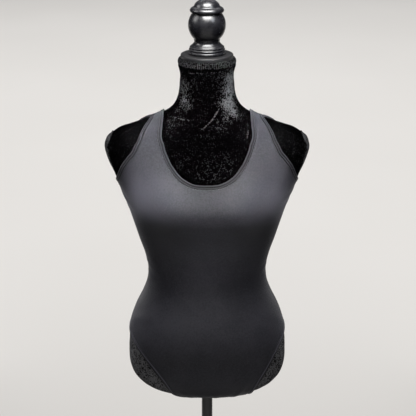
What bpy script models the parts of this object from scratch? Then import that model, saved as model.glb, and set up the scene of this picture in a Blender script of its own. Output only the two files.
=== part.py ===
"""A plain dance leotard, drawn over a limbless black velvet dress form on a pole and a round foot.

Metres, +Z up, the front of the form towards -Y and its left hand side, as it is worn, towards +X.
The origin is on the floor, at the centre of the foot's underside.

Every point of the cloth is a point of the form, moved out along the form's own outward direction.
A point of the form has two numbers. "turn" is the angle round from the centre front, or from the
centre back on the rear, and it grows towards the side at 90 degrees. "path" is the length up the
side outline from the hip line. Below the hip line it is negative and runs under the form, and
halfway under it is minus UNDER_PATH.
"""

import math

import bmesh
import bpy
import numpy as np

MM = 0.001

# Driving sizes of the form and its stand
UNDERSIDE = 0.496  # height of the form's underside above the floor
HIP_LINE = 0.582  # height of the hip line above the floor
UNDER_PATH = 0.110  # path from the hip line to halfway under the form
UNDER_SQUARE = 3.0  # how square the fold from the hips to the underside is, 2 being round
UNDER_ENDS = 2.8  # how square the underside's fall towards the two sides is
BUST_ACROSS = 0.075  # each bust point from the centre line
BUST_HEIGHT = 0.912
BUST_RISE = 0.022
BUST_VALLEY = 0.30  # share of the rise that is lost midway between the bust points
BUST_SPREAD_X = 0.052
BUST_SPREAD_Z = 0.048

POLE_RADIUS = 0.011
SOCKET_RADIUS = 0.014
SOCKET_LENGTH = 0.022
SOCKET_EDGE = 0.001
FOOT_RADIUS = 0.180
FOOT_THICKNESS = 0.007
FOOT_EDGE = 0.002
COLLAR_RADIUS = 0.023
COLLAR_HEIGHT = 0.026
COLLAR_TAPER = 0.003
PLATE_RADIUS = 0.0487
PLATE_THICKNESS = 0.0125
PLATE_EDGE = 0.0012
BALL_RADIUS = 0.0346
BALL_HEIGHT = 0.0527  # centre of the finial's ball above the neck plate

# Driving sizes of the leotard
CLEARANCE = 0.0018  # from the velvet to the cloth's inner face
CLOTH = 0.0012  # wall of a panel
BAND_CLOTH = 0.0019  # wall of a binding, which is folded over the edge
BAND = 0.0080  # width of a binding
SEAM = 0.0003  # gap between pieces

# The form's sections, in millimetres: height above the floor, half width,
# depth in front of and behind the pole's axis, and how blunt the section is, 2 being an ellipse
SECTION_COLUMNS = ("height", "half_width", "front", "back", "blunt")
SECTIONS = (
    (582.0, 157.5, 98.5, 119.0, 2.20),
    (604.0, 156.8, 100.5, 118.5, 2.20),
    (627.0, 154.3, 101.0, 115.5, 2.20),
    (651.0, 148.6, 99.5, 109.5, 2.18),
    (675.0, 140.3, 95.0, 102.0, 2.15),
    (709.0, 124.4, 87.5, 91.0, 2.10),
    (732.0, 115.8, 81.5, 84.5, 2.10),
    (758.0, 112.6, 78.0, 80.5, 2.10),
    (795.0, 118.8, 80.0, 81.5, 2.10),
    (830.0, 130.0, 87.5, 86.0, 2.10),
    (860.0, 138.8, 96.0, 90.5, 2.12),
    (900.0, 151.2, 104.5, 95.5, 2.15),
    (926.0, 161.0, 104.5, 98.0, 2.20),
    (950.0, 171.0, 102.5, 99.5, 2.30),
    (969.0, 179.5, 98.5, 99.5, 2.40),
    (985.0, 186.2, 94.5, 99.0, 2.50),
    (1000.0, 191.4, 90.5, 98.0, 2.55),
    (1016.0, 193.4, 86.5, 96.0, 2.55),
    (1026.5, 189.5, 84.0, 93.0, 2.45),
    (1034.0, 180.5, 81.5, 90.5, 2.30),
    (1041.0, 166.0, 79.5, 88.0, 2.20),
    (1048.0, 146.5, 77.0, 84.5, 2.10),
    (1055.0, 126.0, 74.5, 81.0, 2.05),
    (1062.5, 105.0, 70.0, 77.0, 2.00),
    (1071.0, 87.0, 65.5, 73.0, 2.00),
    (1079.0, 74.0, 61.0, 69.0, 2.00),
    (1089.0, 63.5, 56.5, 64.5, 2.00),
    (1102.0, 56.5, 52.5, 60.0, 2.00),
    (1118.0, 52.4, 50.0, 55.5, 2.00),
    (1135.0, 50.6, 49.0, 52.0, 2.00),
    (1152.0, 50.2, 49.4, 50.4, 2.00),
    (1160.0, 52.2, 51.8, 52.2, 2.00),
    (1166.0, 53.4, 53.2, 53.4, 2.00),
    (1171.0, 52.4, 52.2, 52.4, 2.00),
    (1174.0, 49.6, 49.6, 49.6, 2.00),
)

# Edges of the leotard on one side of the centre line, in degrees and in millimetres above the floor, or
# of path for the leg. Each runs from the shoulder ridge, or for the leg from the side seam.
EDGE_COLUMNS = ("turn", "height")
NECK_FRONT = (
    (90.0, 1075.0),
    (60.0, 1068.0),
    (41.8, 1056.4),
    (26.9, 1038.4),
    (21.7, 1020.3),
    (18.7, 998.3),
    (14.4, 978.4),
    (8.0, 967.1),
    (0.0, 964.7),
)
NECK_REAR = (
    (90.0, 1075.0),
    (60.0, 1068.0),
    (43.0, 1058.0),
    (31.0, 1044.0),
    (24.5, 1028.0),
    (19.5, 1010.0),
    (13.5, 995.0),
    (6.5, 987.0),
    (0.0, 985.0),
)
ARM_FRONT = (
    (90.0, 1062.0),
    (61.0, 1052.5),
    (45.5, 1039.2),
    (41.3, 1023.5),
    (44.6, 1008.1),
    (50.1, 993.7),
    (57.8, 976.5),
    (70.0, 959.5),
    (90.0, 949.0),
)
ARM_REAR = (
    (90.0, 1062.0),
    (61.0, 1052.6),
    (49.0, 1040.5),
    (46.0, 1026.0),
    (47.5, 1011.0),
    (52.0, 995.0),
    (59.0, 978.0),
    (70.0, 960.0),
    (90.0, 949.0),
)
LEG_COLUMNS = ("turn", "path")
LEG_FRONT = (
    (90.0, 52.0),
    (77.0, 46.0),
    (62.3, 31.0),
    (52.0, 12.0),
    (44.2, -9.0),
    (36.4, -29.5),
    (28.6, -56.0),
    (19.5, -76.0),
    (12.5, -93.0),
)
LEG_REAR = (
    (90.0, 52.0),
    (77.0, 46.0),
    (67.0, 22.0),
    (58.0, -16.0),
    (44.0, -54.0),
    (25.0, -78.0),
    (12.5, -93.0),
)
STRIP_TURN = 11.0  # half width of the strip between the legs, in degrees

# The strip is drawn aside to pass the pole: a little on the way down, and the rest under the form
SHIFT_COLUMNS = ("degrees", "from_path", "to_path")
SHIFTS = ((4.5, 60.0, -30.0), (12.5, -50.0, -92.0))

# The finial on the neck plate, from the bottom up: base rings, cove, ball, neck ring and domed cap.
# The ball is an arc from one angle to another, in degrees from level.
TURNED_COLUMNS = ("radius", "height")
FINIAL_BASE = (
    (31.8, 0.0),
    (33.1, 1.6),
    (33.1, 5.4),
    (31.4, 7.0),
    (31.2, 7.6),
    (32.0, 9.2),
    (31.6, 11.4),
    (29.6, 12.8),
)
FINIAL_COVE = ((29.4, 14.2), (26.4, 16.8), (24.2, 19.6), (23.5, 22.0), (24.3, 25.2))
FINIAL_CAP = ((26.2, 75.8), (30.0, 77.0), (31.0, 79.8), (29.6, 82.4), (24.5, 85.7))
FINIAL_DOME = ((22.2, 90.7), (17.6, 95.4), (11.0, 99.4), (4.0, 101.2))
BALL_START, BALL_END, BALL_STEPS = -45.0, 39.0, 10

# Steps along each edge between two seams, and columns across half a panel
NECK_STEPS = 12
ARM_STEPS = 16
SIDE_STEPS = 17
LEG_STEPS = 14
COLUMNS = 9
UNDER_FOLDS = 14

# Rings of the form up to the armpits, over the shoulders and up the neck
BODY_RINGS = 26
SHOULDER_RINGS = 12
NECK_RINGS = 9
ARMPIT_HEIGHT = 1.000
NECK_ROOT_HEIGHT = 1.102

ROW_TILT = 0.045  # how far the rows from the side seam's two ends slope on their way to the centre line
CROWD_BUST = 1.15  # rows of the body crowd towards the bust by this power

SEGMENTS = 32  # sides of a turned piece
WIDE_SEGMENTS = 44  # sides of the neck plate and the foot
EDGE_SAMPLES = 400  # points that an edge's length is measured on
PATH_SAMPLES = 3000  # points that a height's path is read from
TINY = 1e-5  # step of a slope
SHARP_ANGLE = math.radians(40.0)


def clear_scene():
    for old in list(bpy.data.objects):
        bpy.data.objects.remove(old, do_unlink=True)


def columns(names, rows):
    """Each column of a table as an array, by its name."""
    return {name: np.array([row[i] for row in rows], float) for i, name in enumerate(names)}


def spline(knots, values, at):
    """A smooth curve through the values at the knots."""
    slopes = np.gradient(values, knots, axis=0)
    k = np.clip(np.searchsorted(knots, at, side="right") - 1, 0, len(knots) - 2)
    step = knots[k + 1] - knots[k]
    t = (at - knots[k]) / step
    if values.ndim == 2:
        step, t = step[..., None], t[..., None]
    return (
        values[k] * (1 + 2 * t) * (1 - t) ** 2
        + slopes[k] * step * t * (1 - t) ** 2
        + values[k + 1] * t**2 * (3 - 2 * t)
        - slopes[k + 1] * step * t**2 * (1 - t)
    )


def section_table():
    """The sections with their paths, and two mirrored ones below, which level the curves at the hips."""
    rows = columns(SECTION_COLUMNS, SECTIONS)
    lengths = np.hypot(np.diff(rows["half_width"]), np.diff(rows["height"])) * MM
    path = np.concatenate([[0.0], np.cumsum(lengths)])
    table = np.column_stack([rows[name] for name in SECTION_COLUMNS])
    below = table[[2, 1]]
    below[:, 0] = 2 * table[0, 0] - below[:, 0]
    table = np.concatenate([below, table]) * (MM, MM, MM, MM, 1.0)
    return np.concatenate([-path[[2, 1]], path]), table


SECTION_PATHS, SECTION_TABLE = section_table()
TOP_PATH = SECTION_PATHS[-1]
FINE_PATHS = np.linspace(0.0, TOP_PATH, PATH_SAMPLES)
FINE_HEIGHTS = spline(SECTION_PATHS, SECTION_TABLE, FINE_PATHS)[:, 0]


def path_at(height):
    """Path of a height above the floor, from the hip line up."""
    return np.interp(height, FINE_HEIGHTS, FINE_PATHS)


def bust(x, z):
    from_middle = np.abs(x) / BUST_ACROSS
    valley = BUST_VALLEY * np.cos(np.minimum(from_middle, 1.0) * math.pi / 2) ** 2
    across = np.maximum(np.abs(x) - BUST_ACROSS, 0.0) / BUST_SPREAD_X
    up = (z - BUST_HEIGHT) / BUST_SPREAD_Z
    return BUST_RISE * (1 - valley) * np.exp(-(across**2) - up**2)


def form_point(turn, path, rear):
    """Points of the form, at turns in radians and paths in metres, in the front's or the rear's numbers."""
    turn, path = np.broadcast_arrays(np.asarray(turn, float), np.asarray(path, float))
    height, half_width, front, back, blunt = np.moveaxis(
        spline(SECTION_PATHS, SECTION_TABLE, np.maximum(path, 0.0)), -1, 0
    )
    sine, cosine = np.sin(turn), np.cos(turn)
    size = (np.abs(sine) ** blunt + np.abs(cosine) ** blunt) ** (1 / blunt)
    x = half_width * sine / size
    across = np.minimum(np.abs(sine / size), 1.0)
    fold = np.clip(-path / UNDER_PATH, 0.0, 2.0) * math.pi / 2
    down, out = np.sin(fold), np.cos(fold)
    square = (np.abs(down) ** UNDER_SQUARE + np.abs(out) ** UNDER_SQUARE) ** (1 / UNDER_SQUARE)
    drop = (HIP_LINE - UNDERSIDE) * (1 - across**UNDER_ENDS) ** (1 / UNDER_ENDS)
    z = height - drop * down / square
    faces_front = (cosine * out >= 0) != rear
    reach = np.where(faces_front, front, back) * np.abs(cosine) / size * np.abs(out) / square
    reach = reach + np.where(faces_front, bust(x, z) * cosine**2, 0.0)
    y = np.where(faces_front, -reach, reach)
    return np.stack([x, y, z], axis=-1)


def slopes_of(turn, path, rear):
    """How a point moves as its turn and its path grow."""
    by_turn = form_point(turn + TINY, path, rear) - form_point(turn - TINY, path, rear)
    by_path = form_point(turn, path + TINY, rear) - form_point(turn, path - TINY, rear)
    return by_turn / (2 * TINY), by_path / (2 * TINY)


def outward(turn, path, rear):
    by_turn, by_path = slopes_of(turn, path, rear)
    normal = np.cross(by_turn, by_path)
    normal[np.asarray(rear) & np.ones(normal.shape[:-1], bool)] *= -1
    return normal / np.linalg.norm(normal, axis=-1, keepdims=True)


def over_form(turn, path, rear, lift):
    return form_point(turn, path, rear) + outward(turn, path, rear) * lift


def edge_stations(rows, before, after, count):
    """Evenly spaced stations on a smooth curve through the rows, led in and out by a neighbour's row."""
    control = np.array([before, *rows, after], float)
    points = form_point(control[:, 0], control[:, 1], False)
    knots = np.concatenate([[0.0], np.cumsum(np.linalg.norm(np.diff(points, axis=0), axis=1))])
    fine = np.linspace(knots[1], knots[-2], EDGE_SAMPLES)
    curve = spline(knots, control, fine)
    lengths = np.linalg.norm(np.diff(form_point(curve[:, 0], curve[:, 1], False), axis=0), axis=1)
    travelled = np.concatenate([[0.0], np.cumsum(lengths)])
    at = np.interp(np.linspace(0, travelled[-1], count + 1), travelled, fine)
    return spline(knots, control, at)


def edge_rows(table):
    rows = columns(EDGE_COLUMNS, table)
    return np.column_stack([np.radians(rows["turn"]), path_at(rows["height"] * MM)])


def past_side(row):
    """A row of the other face, in this face's numbers, past the side."""
    return (math.pi - row[0], row[1])


def past_under(row):
    return (row[0], -2 * UNDER_PATH - row[1])


def neck_stations():
    front, rear = edge_rows(NECK_FRONT), edge_rows(NECK_REAR)
    front_at = edge_stations(front, past_side(rear[1]), (-front[-2][0], front[-2][1]), NECK_STEPS)
    rear_at = edge_stations(rear, past_side(front[1]), (-rear[-2][0], rear[-2][1]), NECK_STEPS)
    return front_at, rear_at


def arm_stations():
    front, rear = edge_rows(ARM_FRONT), edge_rows(ARM_REAR)
    front_at = edge_stations(front, past_side(rear[1]), past_side(rear[-2]), ARM_STEPS)
    rear_at = edge_stations(rear, past_side(front[1]), past_side(front[-2]), ARM_STEPS)
    return front_at, rear_at


def strip_shift(path):
    """How far the strip is drawn aside at a path, in radians."""
    total = 0.0
    for degrees, start, end in SHIFTS:
        share = np.clip((path - start * MM) / ((end - start) * MM), 0.0, 1.0)
        total = total + math.radians(degrees) * share**2 * (3 - 2 * share)
    return total


def leg_stations(side):
    """A leg line's stations, whose turns are positive on both sides of the centre."""

    def drawn(table):
        rows = columns(LEG_COLUMNS, table)
        rows = np.column_stack([np.radians(rows["turn"]), rows["path"] * MM])
        rows = np.concatenate([rows, [[math.radians(STRIP_TURN), -UNDER_PATH]]])
        rows[:, 0] += side * strip_shift(rows[:, 1])
        return rows

    front, rear = drawn(LEG_FRONT), drawn(LEG_REAR)
    front_at = edge_stations(front, past_side(rear[1]), past_under(rear[-2]), LEG_STEPS)
    rear_at = edge_stations(rear, past_side(front[1]), past_under(front[-2]), LEG_STEPS)
    return front_at, rear_at


class Loop:
    """A closed edge of the leotard: its stations' turns, paths and faces, and which way the cloth lies."""

    def __init__(self, turn, path, rear):
        self.turn, self.path, self.rear = turn, path, rear
        points = form_point(turn, path, rear)
        along = np.roll(points, -1, axis=0) - np.roll(points, 1, axis=0)
        normal = outward(turn, path, rear)
        inward = np.cross(normal, along)
        inward /= np.linalg.norm(inward, axis=1, keepdims=True)
        if np.sum(inward * (points - points.mean(axis=0))) < 0:
            inward = -inward
        self.inward = inward

    def moved(self, distance):
        """Turns and paths of the stations, moved that far over the form into the cloth."""
        by_turn, by_path = slopes_of(self.turn, self.path, self.rear)
        turns, paths = self.turn.copy(), self.path.copy()
        for i, direction in enumerate(self.inward):
            slopes = np.column_stack([by_turn[i], by_path[i]])
            change = np.linalg.lstsq(slopes, direction * distance, rcond=None)[0]
            turns[i] += change[0]
            paths[i] += change[1]
        return turns, paths


def joined_loop(parts):
    """One loop from stretches of (stations, side, rear, backwards), none holding the last station."""
    turns, paths, rears = [], [], []
    for stations, side, rear, backwards in parts:
        ordered = stations[::-1] if backwards else stations
        turns.append(side * ordered[:-1, 0])
        paths.append(ordered[:-1, 1])
        rears.append(np.full(len(ordered) - 1, rear))
    return Loop(np.concatenate(turns), np.concatenate(paths), np.concatenate(rears))


def neck_loop():
    front, rear = neck_stations()
    front_parts = [(front, 1, False, False), (front, -1, False, True)]
    rear_parts = [(rear, -1, True, False), (rear, 1, True, True)]
    return joined_loop(front_parts + rear_parts)


def arm_loop(side):
    front, rear = arm_stations()
    return joined_loop([(front, side, False, False), (rear, side, True, True)])


def leg_loop(side):
    front, rear = leg_stations(side)
    return joined_loop([(front, side, False, False), (rear, side, True, True)])


def new_material(name, colour, roughness, metallic):
    material = bpy.data.materials.new(name)
    material.use_nodes = True
    shader = material.node_tree.nodes["Principled BSDF"]
    shader.inputs["Base Color"].default_value = (*colour, 1.0)
    shader.inputs["Roughness"].default_value = roughness
    shader.inputs["Metallic"].default_value = metallic
    return material


def add_solid(name, points, faces, material):
    mesh = bpy.data.meshes.new(name)
    mesh.from_pydata([tuple(point) for point in points], [], faces)
    edit = bmesh.new()
    edit.from_mesh(mesh)
    bmesh.ops.recalc_face_normals(edit, faces=edit.faces)
    edit.to_mesh(mesh)
    edit.free()
    mesh.shade_smooth()
    mesh.set_sharp_from_angle(angle=SHARP_ANGLE)
    mesh.materials.append(material)
    solid = bpy.data.objects.new(name, mesh)
    bpy.context.scene.collection.objects.link(solid)
    return solid


def add_turned(name, profile, material, floor=0.0, segments=SEGMENTS, bore=None):
    """A piece turned about the axis: (radius, height) rows from its floor up, solid or with a bore."""
    rows = list(profile)
    if bore:
        rows = rows + [(bore, rows[-1][1]), (bore, rows[0][1])]
    angles = np.arange(segments) * 2 * math.pi / segments
    ring = [(math.cos(angle), math.sin(angle)) for angle in angles]
    points = [(radius * x, radius * y, height) for radius, height in rows for x, y in ring]
    last = len(rows) - 1
    faces = []
    for i in range(last + 1 if bore else last):
        k = (i + 1) % (last + 1)
        for j in range(segments):
            n = (j + 1) % segments
            faces.append((i * segments + j, i * segments + n, k * segments + n, k * segments + j))
    if not bore:
        faces.append(tuple(range(segments)))
        faces.append(tuple(last * segments + j for j in range(segments)))
    add_solid(name, points, faces, material).location.z = floor


def arc(height, radius, start, end, steps):
    """(radius, height) rows of an arc about a point of the axis, from one angle in degrees to another."""
    angles = np.radians(np.linspace(start, end, steps + 1))
    return [(radius * math.cos(angle), height + radius * math.sin(angle)) for angle in angles]


def torso_rows():
    """Paths of the form's rings: closer on the shoulders and the neck than down the body."""
    armpit, neck_root = path_at(ARMPIT_HEIGHT), path_at(NECK_ROOT_HEIGHT)
    body = armpit * (1 - np.linspace(1, 0, BODY_RINGS + 1) ** CROWD_BUST)
    shoulder = np.linspace(armpit, neck_root, SHOULDER_RINGS + 1)
    neck = np.linspace(neck_root, TOP_PATH, NECK_RINGS + 1)
    return np.concatenate([body, shoulder[1:], neck[1:]])


def add_torso(material):
    """The padded form, one solid: rings up from the hip line, and folds under it from front to back."""
    around = 4 * COLUMNS
    turn_step = 2 * math.pi / around
    turns = np.arange(around) * turn_step
    paths = torso_rows()
    points = list(form_point(turns[None, :], paths[:, None], False).reshape(-1, 3))
    faces = []
    for i in range(len(paths) - 1):
        for j in range(around):
            n = (j + 1) % around
            faces.append((i * around + j, i * around + n, (i + 1) * around + n, (i + 1) * around + j))
    faces.append(tuple((len(paths) - 1) * around + j for j in range(around)))
    strips = {}
    for j in range(-COLUMNS, COLUMNS + 1):
        first, last = j % around, (around // 2 - j) % around
        if abs(j) == COLUMNS:
            strips[j] = [first] * (UNDER_FOLDS + 1)
            continue
        strip = [first]
        for k in range(1, UNDER_FOLDS):
            strip.append(len(points))
            points.append(form_point(turn_step * j, -2 * UNDER_PATH * k / UNDER_FOLDS, False))
        strips[j] = [*strip, last]
    for j in range(-COLUMNS, COLUMNS):
        for k in range(UNDER_FOLDS):
            corners = (strips[j][k], strips[j + 1][k], strips[j + 1][k + 1], strips[j][k + 1])
            faces.append(tuple(dict.fromkeys(corners)))
    add_solid("form_torso", points, faces, material)


def crowded(start, end):
    """Rows down the body part of a panel, closer together at its top."""
    return start + (end - start) * np.linspace(0, 1, SIDE_STEPS + 1) ** CROWD_BUST


def centre_line(neck_path, arm_path, leg_path):
    """Paths of the rows on the centre line, from the neckline to the seam between the legs."""
    chest = np.linspace(neck_path, arm_path - ROW_TILT, ARM_STEPS - NECK_STEPS + 1)
    body = crowded(arm_path - ROW_TILT, leg_path + ROW_TILT)
    under = np.linspace(leg_path + ROW_TILT, -UNDER_PATH + SEAM / 2, LEG_STEPS + 1)
    return np.concatenate([chest, body[1:], under[1:]])


def panel_half(side, rear):
    """Turns and paths of half a panel's grid: a row for each station, and columns from the middle out."""
    inset = BAND + SEAM
    neck, arm, leg = neck_stations()[rear], arm_stations()[rear], leg_stations(side)[rear]
    loops = neck_loop(), arm_loop(side), leg_loop(side)
    edges = []
    for loop, stations in zip(loops, (neck, arm, leg)):
        turns, paths = loop.moved(inset)
        found = []
        for turn, path in stations:
            away = np.abs(loop.turn - side * turn) + np.abs(loop.path - path)
            at = int(np.argmin(away + np.where(loop.rear == rear, 0.0, TINY)))
            found.append((side * turns[at], paths[at]))
        edges.append(np.array(found))
    neck, arm, leg = edges
    side_turn = math.pi / 2 - SEAM / 2 / SECTION_TABLE[:, 2].mean()
    for edge, at in ((neck, 0), (arm, 0), (arm, -1), (leg, 0)):
        edge[at, 0] = side_turn
    neck[-1, 0] = 0.0
    leg[-1, 1] = -UNDER_PATH + SEAM / 2
    seam = np.column_stack([np.full(SIDE_STEPS + 1, side_turn), crowded(arm[-1, 1], leg[0, 1])])
    outer = np.concatenate([arm, seam[1:], leg[1:]])
    middle_paths = centre_line(neck[-1, 1], arm[-1, 1], leg[0, 1])
    middle = np.column_stack([side * strip_shift(middle_paths), middle_paths])
    inner = np.concatenate([neck, middle[1:]])
    share = np.linspace(0, 1, COLUMNS + 1)[None, :, None]
    grid = inner[:, None, :] * (1 - share) + outer[:, None, :] * share
    grid[..., 0] *= side
    return grid


def add_shell(name, turns, paths, rear, faces, material):
    """A panel's closed wall over the form, from one layer of faces: inner and outer layers and a rim."""
    inner = over_form(turns, paths, rear, CLEARANCE)
    outer = over_form(turns, paths, rear, CLEARANCE + CLOTH)
    count = len(turns)
    edges = {}
    for face in faces:
        for a, b in zip(face, face[1:] + face[:1]):
            edges[(a, b)] = True
    rim = [(b, a, a + count, b + count) for a, b in edges if (b, a) not in edges]
    over = [tuple(i + count for i in face) for face in faces]
    under = [tuple(reversed(face)) for face in faces]
    add_solid(name, np.concatenate([inner, outer]), over + under + rim, material)


def add_panel(name, rear, material):
    """The front or the back: two halves of one grid, which part above the neckline's lowest point."""
    turns, paths, faces = [], [], []
    middle = {}
    for side in (1, -1):
        grid = panel_half(side, rear)
        index = np.zeros(grid.shape[:2], int)
        for i in range(grid.shape[0]):
            for j in range(grid.shape[1]):
                if j == 0 and i in middle:
                    index[i, j] = middle[i]
                    continue
                index[i, j] = len(turns)
                turns.append(grid[i, j, 0])
                paths.append(grid[i, j, 1])
                if j == 0 and i >= NECK_STEPS:
                    middle[i] = index[i, j]
        for i in range(grid.shape[0] - 1):
            for j in range(grid.shape[1] - 1):
                corners = (index[i, j], index[i + 1, j], index[i + 1, j + 1], index[i, j + 1])
                face = tuple(int(corner) for corner in corners)
                faces.append(face if side == 1 else face[::-1])
    add_shell(name, np.array(turns), np.array(paths), rear, faces, material)


def add_binding(name, loop, material):
    """A folded band along an edge, butted to the panel: a ring of four points at each station."""
    near = over_form(loop.turn, loop.path, loop.rear, CLEARANCE)
    near_top = over_form(loop.turn, loop.path, loop.rear, CLEARANCE + BAND_CLOTH)
    turns, paths = loop.moved(BAND)
    far = over_form(turns, paths, loop.rear, CLEARANCE)
    far_top = over_form(turns, paths, loop.rear, CLEARANCE + BAND_CLOTH)
    rings = np.stack([near, near_top, far_top, far], axis=1)
    count = len(rings)
    faces = []
    for i in range(count):
        k = (i + 1) % count
        for j in range(4):
            n = (j + 1) % 4
            faces.append((4 * i + j, 4 * i + n, 4 * k + n, 4 * k + j))
    add_solid(name, rings.reshape(-1, 3), faces, material)


def turned_rows(table):
    rows = columns(TURNED_COLUMNS, table)
    return list(zip(rows["radius"] * MM, rows["height"] * MM))


def finial_profile():
    ball = arc(BALL_HEIGHT, BALL_RADIUS, BALL_START, BALL_END, BALL_STEPS)
    below = turned_rows(FINIAL_BASE + FINIAL_COVE)
    return below + ball + turned_rows(FINIAL_CAP + FINIAL_DOME)


def disc(radius, thickness, edge):
    """(radius, height) rows of a flat disc whose two rims are chamfered."""
    lower = [(radius - edge, 0.0), (radius, edge)]
    return lower + [(radius, thickness - edge), (radius - edge, thickness)]


def add_stand(wood, metal):
    foot = disc(FOOT_RADIUS, FOOT_THICKNESS, FOOT_EDGE)
    add_turned("foot_disc", foot, metal, segments=WIDE_SEGMENTS)
    floor = FOOT_THICKNESS + SEAM
    collar = [
        (COLLAR_RADIUS, 0.0),
        (COLLAR_RADIUS, COLLAR_HEIGHT / 2),
        (COLLAR_RADIUS - COLLAR_TAPER, COLLAR_HEIGHT - COLLAR_TAPER),
        (COLLAR_RADIUS - 2 * COLLAR_TAPER, COLLAR_HEIGHT),
    ]
    around_pole = POLE_RADIUS + SEAM
    add_turned("foot_collar", collar, metal, floor, bore=around_pole)
    pole_top = UNDERSIDE - SEAM
    add_turned("pole", [(POLE_RADIUS, 0.0), (POLE_RADIUS, pole_top - floor)], metal, floor)
    socket = [
        (SOCKET_RADIUS - SOCKET_EDGE, 0.0),
        (SOCKET_RADIUS, SOCKET_EDGE),
        (SOCKET_RADIUS, SOCKET_LENGTH),
    ]
    add_turned("pole_socket", socket, metal, pole_top - SOCKET_LENGTH, bore=around_pole)
    plate_floor = SECTIONS[-1][0] * MM + SEAM
    plate = disc(PLATE_RADIUS, PLATE_THICKNESS, PLATE_EDGE)
    add_turned("neck_plate", plate, wood, plate_floor, segments=WIDE_SEGMENTS)
    add_turned("finial", finial_profile(), wood, plate_floor + PLATE_THICKNESS + SEAM)


def build():
    clear_scene()
    knit = new_material("charcoal_knit", (0.036, 0.036, 0.041), 0.62, 0.0)
    binding_knit = new_material("charcoal_binding", (0.042, 0.042, 0.048), 0.58, 0.0)
    velvet = new_material("black_velvet", (0.006, 0.006, 0.007), 0.95, 0.0)
    wood = new_material("black_turned_wood", (0.008, 0.008, 0.008), 0.28, 0.0)
    metal = new_material("black_metal", (0.010, 0.010, 0.011), 0.35, 0.8)
    add_torso(velvet)
    add_panel("front_panel", False, knit)
    add_panel("back_panel", True, knit)
    add_binding("neck_binding", neck_loop(), binding_knit)
    for side, hand in ((1, "left"), (-1, "right")):
        add_binding("arm_binding_" + hand, arm_loop(side), binding_knit)
        add_binding("leg_binding_" + hand, leg_loop(side), binding_knit)
    add_stand(wood, metal)


build()
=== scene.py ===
"""A dance leotard on its dress form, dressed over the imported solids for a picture.

The cloth, its bindings and the velvet form are drawn again and finer over one surface, which is the
solids' own. A point of it has a "turn", the angle round from the centre front, or from the centre back
on the rear, and a "path", the length up the side outline from the hip line, negative under the form.
"""

import math

import bpy
import numpy as np
from mathutils.kdtree import KDTree
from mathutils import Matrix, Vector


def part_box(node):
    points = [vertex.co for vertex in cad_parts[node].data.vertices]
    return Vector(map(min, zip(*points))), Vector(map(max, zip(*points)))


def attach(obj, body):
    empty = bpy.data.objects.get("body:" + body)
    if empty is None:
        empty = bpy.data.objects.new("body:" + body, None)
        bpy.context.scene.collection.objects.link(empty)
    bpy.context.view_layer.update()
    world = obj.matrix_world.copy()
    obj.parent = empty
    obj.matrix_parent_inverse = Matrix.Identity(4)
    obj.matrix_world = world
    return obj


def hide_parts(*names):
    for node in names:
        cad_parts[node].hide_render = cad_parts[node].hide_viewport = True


MM = 0.001


def numbers(text):
    """The rows of a table of numbers, with commas between them."""
    return np.array([row.split() for row in text.split(",")], float)


# Sizes of the form, the finial's ball and the cloth, the same as the solids'
UNDERSIDE = 0.496
HIP_LINE = 0.582
UNDER_PATH = 0.110
UNDER_SQUARE = 3.0
UNDER_ENDS = 2.8
BUST_ACROSS = 0.075
BUST_HEIGHT = 0.912
BUST_RISE = 0.022
BUST_VALLEY = 0.30
BUST_SPREAD_X = 0.052
BUST_SPREAD_Z = 0.048
BALL_RADIUS = 0.0346
BALL_HEIGHT = 0.0527
CLEARANCE = 0.0018
CLOTH = 0.0012
BAND = 0.0080
SEAM = 0.0003

# The form's sections, in millimetres: height above the floor, half width,
# depth in front of and behind the pole's axis, and how blunt the section is, 2 being an ellipse
SECTIONS = numbers("""
    582 157.5 98.5 119 2.2, 604 156.8 100.5 118.5 2.2, 627 154.3 101 115.5 2.2, 651 148.6 99.5 109.5 2.18,
    675 140.3 95 102 2.15, 709 124.4 87.5 91 2.1, 732 115.8 81.5 84.5 2.1, 758 112.6 78 80.5 2.1,
    795 118.8 80 81.5 2.1, 830 130 87.5 86 2.1, 860 138.8 96 90.5 2.12, 900 151.2 104.5 95.5 2.15,
    926 161 104.5 98 2.2, 950 171 102.5 99.5 2.3, 969 179.5 98.5 99.5 2.4, 985 186.2 94.5 99 2.5,
    1000 191.4 90.5 98 2.55, 1016 193.4 86.5 96 2.55, 1026.5 189.5 84 93 2.45, 1034 180.5 81.5 90.5 2.3,
    1041 166 79.5 88 2.2, 1048 146.5 77 84.5 2.1, 1055 126 74.5 81 2.05, 1062.5 105 70 77 2,
    1071 87 65.5 73 2, 1079 74 61 69 2, 1089 63.5 56.5 64.5 2, 1102 56.5 52.5 60 2, 1118 52.4 50 55.5 2,
    1135 50.6 49 52 2, 1152 50.2 49.4 50.4 2, 1160 52.2 51.8 52.2 2, 1166 53.4 53.2 53.4 2,
    1171 52.4 52.2 52.4 2, 1174 49.6 49.6 49.6 2
""")

# Edges of the leotard on one side of the centre line: the turn in degrees, and millimetres above the floor,
# or of path for the leg. Each runs from the shoulder ridge, or for the leg from the side seam.
NECK_FRONT = numbers("""
    90 1075, 60 1068, 41.8 1056.4, 26.9 1038.4, 21.7 1020.3, 18.7 998.3, 14.4 978.4, 8 967.1, 0 964.7
""")
NECK_REAR = numbers("""
    90 1075, 60 1068, 43 1058, 31 1044, 24.5 1028, 19.5 1010, 13.5 995, 6.5 987, 0 985
""")
ARM_FRONT = numbers("""
    90 1062, 61 1052.5, 45.5 1039.2, 41.3 1023.5, 44.6 1008.1, 50.1 993.7, 57.8 976.5, 70 959.5, 90 949
""")
ARM_REAR = numbers("""
    90 1062, 61 1052.6, 49 1040.5, 46 1026, 47.5 1011, 52 995, 59 978, 70 960, 90 949
""")
LEG_FRONT = numbers("""
    90 52, 77 46, 62.3 31, 52 12, 44.2 -9, 36.4 -29.5, 28.6 -56, 19.5 -76, 12.5 -93
""")
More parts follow.
